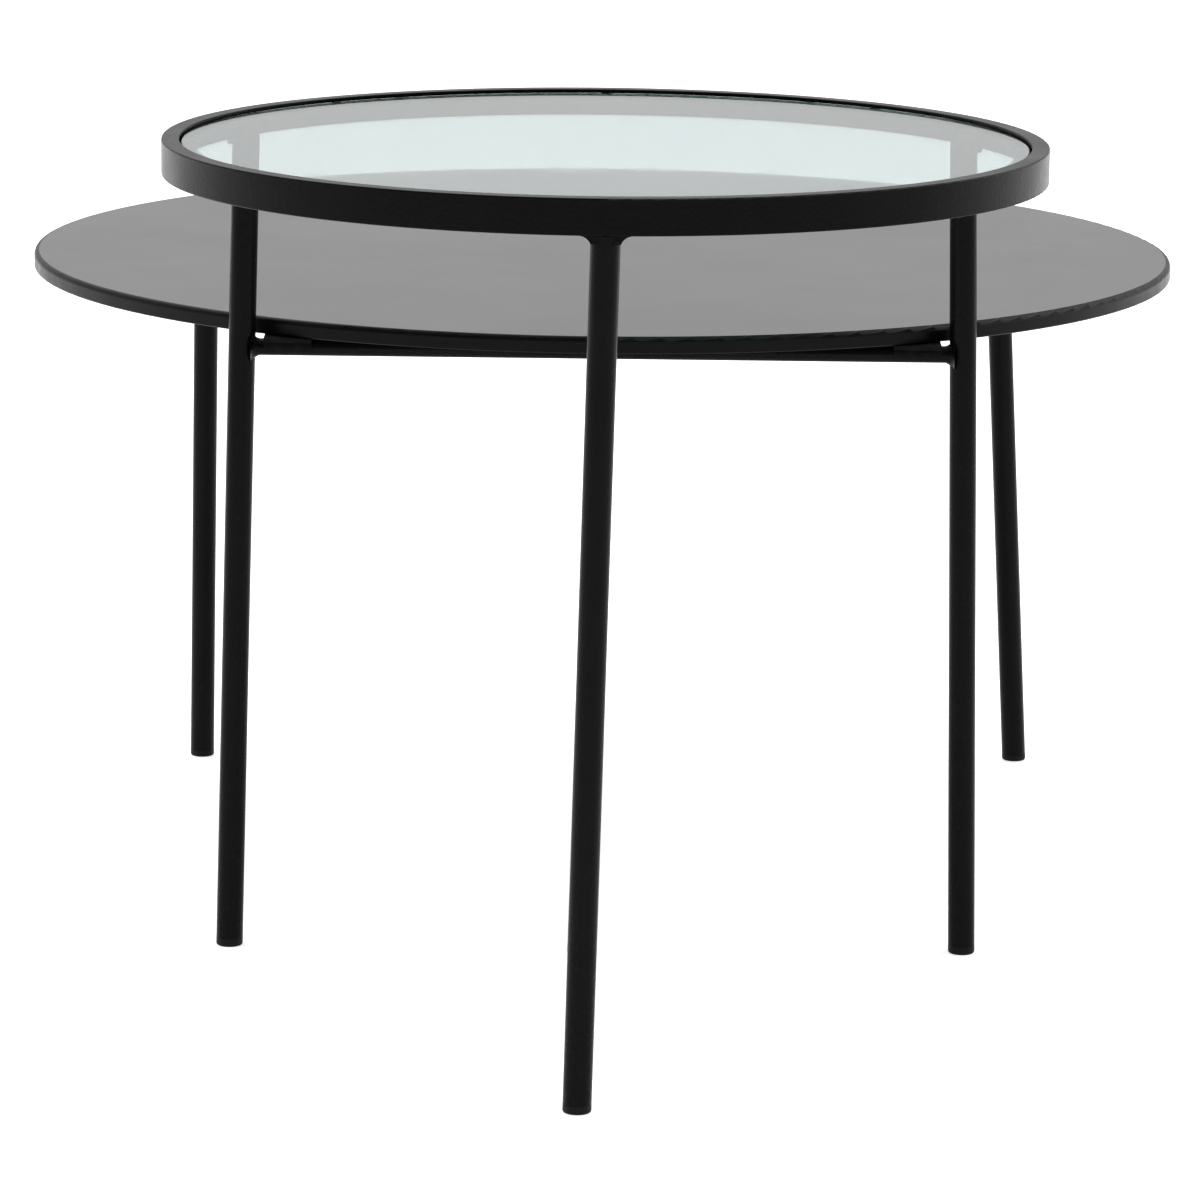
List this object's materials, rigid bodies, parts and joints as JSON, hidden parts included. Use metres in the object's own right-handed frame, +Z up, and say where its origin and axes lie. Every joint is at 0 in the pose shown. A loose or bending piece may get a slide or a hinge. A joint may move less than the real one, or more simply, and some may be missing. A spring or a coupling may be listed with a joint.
{
  "type": "nesting tables",
  "caption": "Two round nesting tables on splayed tube legs: a tall glass-topped ring table standing over a wider, lower board-topped table that slides under it.",
  "frame": {"origin": "on the floor, under the middle of the nested pair's outline", "axes": "+Z up; +Y from the tall glass table towards the low table, along which the pair is longest; +X to the right seen from the tall table's side"},
  "size_m": [0.7219, 1.041, 0.505],
  "materials": {
    "frame_steel": "fine-textured matt black powder coat",
    "glass": "clear toughened glass with polished edges",
    "low_board": "smooth satin black lacquer on board",
    "glide": "moulded black plastic",
    "black_rubber": "black rubber",
    "clear_rubber": "clear silicone",
    "screw": "zinc-plated steel"
  },
  "bodies": {
    "tall_table": {"ring_frame": "frame_steel", "glass_ledge": "frame_steel", "ledge_welds": "frame_steel", "glass_bumpers": "clear_rubber", "tall_leg_front": "frame_steel", "tall_leg_back_left": "frame_steel", "tall_leg_back_right": "frame_steel", "tall_leg_welds": "frame_steel", "stretcher": "frame_steel", "stretcher_welds": "frame_steel", "stretcher_pads": "black_rubber", "tall_glide_front": "glide", "tall_glide_back_left": "glide", "tall_glide_back_right": "glide"},
    "glass": {"glass_top": "glass"},
    "low_table": {"low_top": "low_board", "low_plate_front": "frame_steel", "low_plate_back_left": "frame_steel", "low_plate_back_right": "frame_steel", "plate_screws": "screw", "low_leg_front": "frame_steel", "low_leg_back_left": "frame_steel", "low_leg_back_right": "frame_steel", "low_leg_welds": "frame_steel", "low_glide_front": "glide", "low_glide_back_left": "glide", "low_glide_back_right": "glide"}
  },
  "joints": [
    {"name": "low_table_slide", "type": "slide", "parent": "tall_table", "child": "low_table", "axis": [0, 1, 0], "range_m": [0, 0.45]},
    {"name": "glass_lift", "type": "slide", "parent": "tall_table", "child": "glass", "axis": [0, 0, 1], "range_m": [0, 0.12]}
  ]
}
